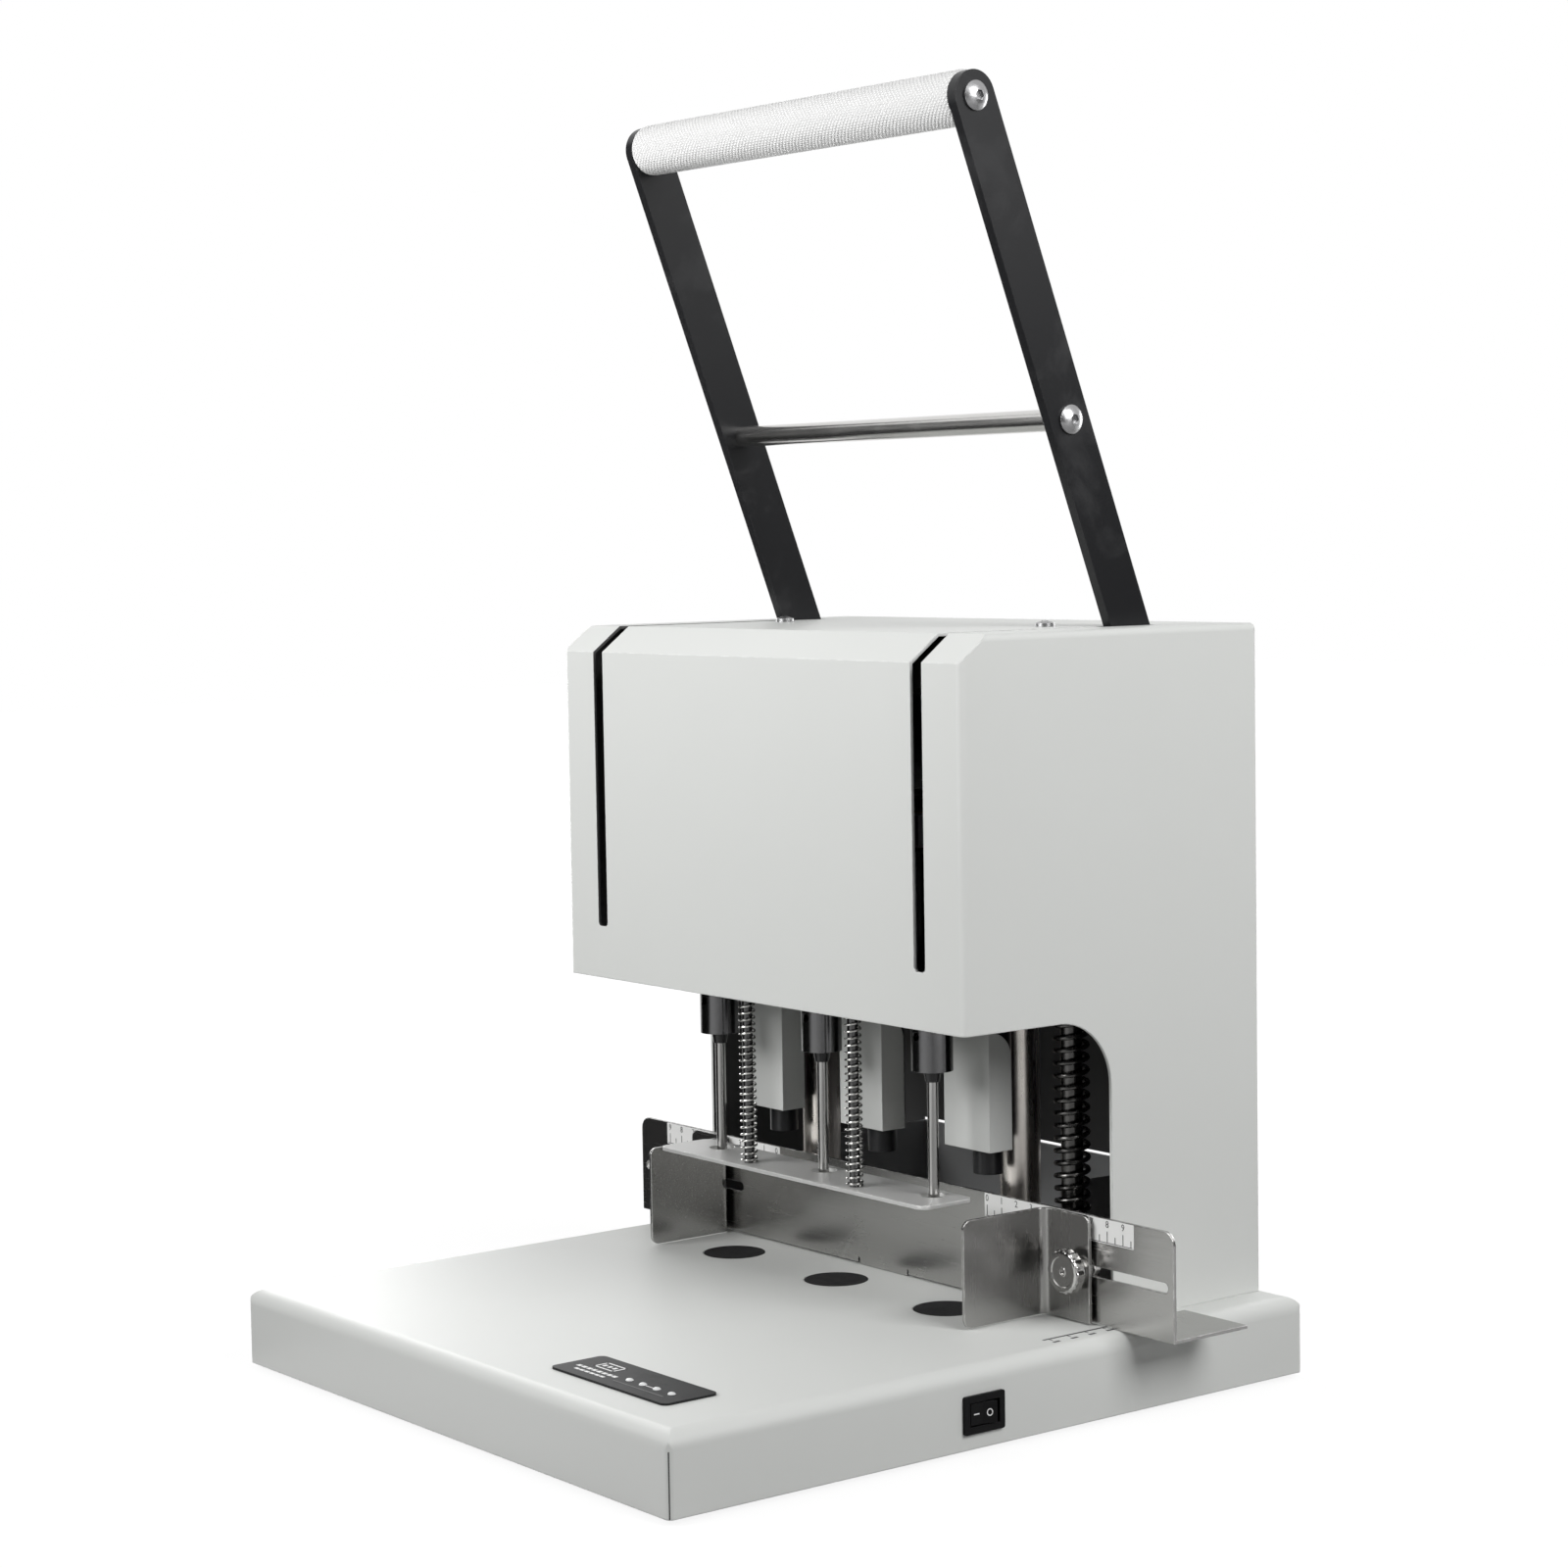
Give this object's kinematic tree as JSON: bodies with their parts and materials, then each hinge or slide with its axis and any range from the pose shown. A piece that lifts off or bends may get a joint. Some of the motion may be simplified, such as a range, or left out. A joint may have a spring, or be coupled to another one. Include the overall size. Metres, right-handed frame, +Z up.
{
  "type": "paper drill",
  "caption": "Bench paper drill: sheet-metal base and head, pull-down lever frame, rotating hollow bits in chucks, sprung presser plate, back fence and sliding side guides.",
  "frame": {"origin": "on the floor under the middle of the base, at the bottoms of the feet", "axes": "+X to the operator's right, +Y to the back, +Z up"},
  "size_m": [0.395, 0.356, 0.5863],
  "materials": {
    "powder_coat": "light grey powder coat, fine texture",
    "black_coat": "black powder coat",
    "bare_plate": "machined steel plate",
    "stainless": "polished stainless sheet",
    "bright_steel": "ground and polished steel",
    "chuck_steel": "turned steel",
    "chrome": "chrome plated",
    "dark_spring": "oiled spring steel",
    "knurled": "knurled, pale silver",
    "alloy": "machined alloy",
    "bronze": "plain bearing bronze",
    "galvanised": "zinc-coated sheet",
    "pad_plastic": "black, satin",
    "panel_plastic": "dark grey, satin",
    "black_plastic": "black",
    "board": "green laminate",
    "black_rubber": "black rubber"
  },
  "bodies": {
    "machine_frame": {"base_shell": "powder_coat", "bottom_plate": "bare_plate", "rubber_feet": "black_rubber", "anvil_bar": "bare_plate", "control_panel": "panel_plastic", "control_board": "board", "power_supply": "alloy", "switch_frame": "black_plastic", "mains_inlet": "black_plastic", "head_cover": "powder_coat", "rear_cover": "powder_coat", "pan_screws": "chrome", "column_left": "bright_steel", "column_right": "bright_steel", "top_plate": "bare_plate", "bearing_plate": "bare_plate", "shaft_blocks": "bare_plate", "motors": "black_coat", "motor_guards": "powder_coat", "drive_belts": "black_rubber", "return_rod": "bright_steel", "return_spring": "dark_spring"},
    "lever": {"lever_shaft": "bare_plate", "gear_sectors": "bare_plate", "arm_left": "black_coat", "arm_right": "black_coat", "crossbar": "bright_steel", "grip_bar": "bright_steel", "grip": "knurled", "lever_screws": "chrome"},
    "carriage": {"crosshead": "alloy", "crosshead_bushes": "bronze", "racks": "bare_plate", "rod_sleeves": "bright_steel", "presser_spring_left": "bright_steel", "presser_spring_right": "bright_steel"},
    "presser": {"presser_plate": "stainless", "presser_rods": "bright_steel"},
    "fence_body": {"fence": "stainless"},
    "guide_left_body": {"guide_left": "stainless"},
    "guide_right_body": {"guide_right": "stainless"},
    "knob_left_body": {"knob_left": "chrome"},
    "knob_right_body": {"knob_right": "chrome"},
    "rocker_body": {"rocker": "black_plastic"},
    "tray_body": {"chip_tray": "galvanised"},
    "spindle_left_body": {"spindle_left": "chuck_steel", "bit_left": "bright_steel"},
    "pulley_left_body": {"drive_pulley_left": "alloy"},
    "motor_left_body": {"motor_pulley_left": "alloy"},
    "pad_left_body": {"pad_left": "pad_plastic"},
    "spindle_middle_body": {"spindle_middle": "chuck_steel", "bit_middle": "bright_steel"},
    "pulley_middle_body": {"drive_pulley_middle": "alloy"},
    "motor_middle_body": {"motor_pulley_middle": "alloy"},
    "pad_middle_body": {"pad_middle": "pad_plastic"},
    "spindle_right_body": {"spindle_right": "chuck_steel", "bit_right": "bright_steel"},
    "pulley_right_body": {"drive_pulley_right": "alloy"},
    "motor_right_body": {"motor_pulley_right": "alloy"},
    "pad_right_body": {"pad_right": "pad_plastic"}
  },
  "joints": [
    {"name": "lever_turn", "type": "hinge", "parent": "machine_frame", "child": "lever", "pos_m": [0, 0.1449, 0.2779], "axis": [1, 0, 0], "range_deg": [0, 90]},
    {"name": "carriage_slide", "type": "slide", "parent": "machine_frame", "child": "carriage", "axis": [0, 0, 1], "range_m": [-0.0508, 0], "stiffness_N_per_m": 1000, "springref_m": 0.085, "deforming": ["return_spring"]},
    {"name": "presser_slide", "type": "slide", "parent": "carriage", "child": "presser", "axis": [0, 0, 1], "range_m": [0, 0.05], "stiffness_N_per_m": 1600, "springref_m": -0.012, "deforming": ["presser_spring_left", "presser_spring_right"]},
    {"name": "spindle_left_spin", "type": "hinge", "parent": "carriage", "child": "spindle_left_body", "pos_m": [-0.08, 0.035, 0.2], "axis": [0, 0, 1], "continuous": true},
    {"name": "pulley_left_spin", "type": "hinge", "parent": "machine_frame", "child": "pulley_left_body", "pos_m": [-0.08, 0.035, 0.188], "axis": [0, 0, 1], "continuous": true},
    {"name": "motor_left_spin", "type": "hinge", "parent": "machine_frame", "child": "motor_left_body", "pos_m": [-0.0764, 0.0707, 0.188], "axis": [0, 0, 1], "continuous": true},
    {"name": "pad_left_turn", "type": "hinge", "parent": "machine_frame", "child": "pad_left_body", "pos_m": [-0.08, 0.0414, 0.035], "axis": [0, 0, 1], "continuous": true},
    {"name": "spindle_middle_spin", "type": "hinge", "parent": "carriage", "child": "spindle_middle_body", "pos_m": [0, 0.035, 0.2], "axis": [0, 0, 1], "continuous": true},
    {"name": "pulley_middle_spin", "type": "hinge", "parent": "machine_frame", "child": "pulley_middle_body", "pos_m": [0, 0.035, 0.188], "axis": [0, 0, 1], "continuous": true},
    {"name": "motor_middle_spin", "type": "hinge", "parent": "machine_frame", "child": "motor_middle_body", "pos_m": [0, 0.0707, 0.188], "axis": [0, 0, 1], "continuous": true},
    {"name": "pad_middle_turn", "type": "hinge", "parent": "machine_frame", "child": "pad_middle_body", "pos_m": [0, 0.0414, 0.035], "axis": [0, 0, 1], "continuous": true},
    {"name": "spindle_right_spin", "type": "hinge", "parent": "carriage", "child": "spindle_right_body", "pos_m": [0.08, 0.035, 0.2], "axis": [0, 0, 1], "continuous": true},
    {"name": "pulley_right_spin", "type": "hinge", "parent": "machine_frame", "child": "pulley_right_body", "pos_m": [0.08, 0.035, 0.188], "axis": [0, 0, 1], "continuous": true},
    {"name": "motor_right_spin", "type": "hinge", "parent": "machine_frame", "child": "motor_right_body", "pos_m": [0.0764, 0.0707, 0.188], "axis": [0, 0, 1], "continuous": true},
    {"name": "pad_right_turn", "type": "hinge", "parent": "machine_frame", "child": "pad_right_body", "pos_m": [0.08, 0.0414, 0.035], "axis": [0, 0, 1], "continuous": true},
    {"name": "fence_slide", "type": "slide", "parent": "machine_frame", "child": "fence_body", "axis": [0, 1, 0], "range_m": [-0.018, 0]},
    {"name": "guide_left_slide", "type": "slide", "parent": "fence_body", "child": "guide_left_body", "axis": [-1, 0, 0], "range_m": [-0.0135, 0.045]},
    {"name": "guide_right_slide", "type": "slide", "parent": "fence_body", "child": "guide_right_body", "axis": [1, 0, 0], "range_m": [-0.0125, 0.045]},
    {"name": "knob_left_turn", "type": "hinge", "parent": "guide_left_body", "child": "knob_left_body", "pos_m": [-0.1407, 0.062, 0.0615], "axis": [0, -1, 0], "range_deg": [0, 360]},
    {"name": "knob_right_turn", "type": "hinge", "parent": "guide_right_body", "child": "knob_right_body", "pos_m": [0.1395, 0.062, 0.0615], "axis": [0, -1, 0], "range_deg": [0, 360]},
    {"name": "rocker_tilt", "type": "hinge", "parent": "machine_frame", "child": "rocker_body", "pos_m": [0.1655, -0.0149, 0.0176], "axis": [0, 0, 1], "range_deg": [0, 18]},
    {"name": "chip_tray_slide", "type": "slide", "parent": "machine_frame", "child": "tray_body", "axis": [0, 1, 0], "range_m": [0, 0.06]}
  ],
  "couplings": [
    {"joint": "carriage_slide", "follows": "lever_turn", "m_per_rad": -0.03225},
    {"joint": "pulley_left_spin", "follows": "spindle_left_spin", "ratio": 1},
    {"joint": "motor_left_spin", "follows": "spindle_left_spin", "ratio": 1.7143},
    {"joint": "pulley_middle_spin", "follows": "spindle_middle_spin", "ratio": 1},
    {"joint": "motor_middle_spin", "follows": "spindle_middle_spin", "ratio": 1.7143},
    {"joint": "pulley_right_spin", "follows": "spindle_right_spin", "ratio": 1},
    {"joint": "motor_right_spin", "follows": "spindle_right_spin", "ratio": 1.7143}
  ]
}
